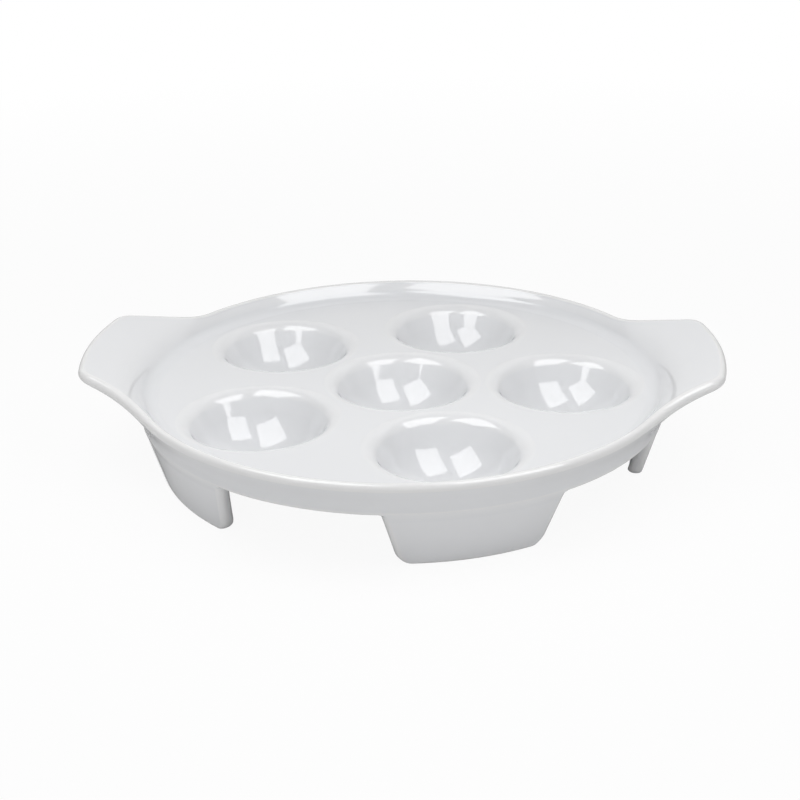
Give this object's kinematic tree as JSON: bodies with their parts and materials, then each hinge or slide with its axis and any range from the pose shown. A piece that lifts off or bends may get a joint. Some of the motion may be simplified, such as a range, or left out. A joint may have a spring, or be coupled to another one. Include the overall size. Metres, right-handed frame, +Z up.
{
  "type": "escargot plate",
  "caption": "Round white porcelain snail plate with bowl-shaped wells in a flat deck, a coved rim, an upswept ear on each side and short skirt feet.",
  "frame": {"origin": "on the table, under the middle of the plate", "axes": "+Z up, +X along the ears through the outer well that points at the right ear, -Y towards the viewer of the picture"},
  "size_m": [0.178, 0.152, 0.0314],
  "materials": {
    "porcelain": "hard white porcelain under a clear glossy glaze"
  },
  "bodies": {
    "root": {"deck": "porcelain", "front_rim": "porcelain", "back_rim": "porcelain", "left_ear": "porcelain", "right_ear": "porcelain", "centre_well": "porcelain", "outer_well_1": "porcelain", "outer_well_2": "porcelain", "outer_well_3": "porcelain", "outer_well_4": "porcelain", "outer_well_5": "porcelain", "foot_1": "porcelain", "foot_2": "porcelain", "foot_3": "porcelain", "foot_4": "porcelain", "foot_5": "porcelain"}
  },
  "joints": []
}
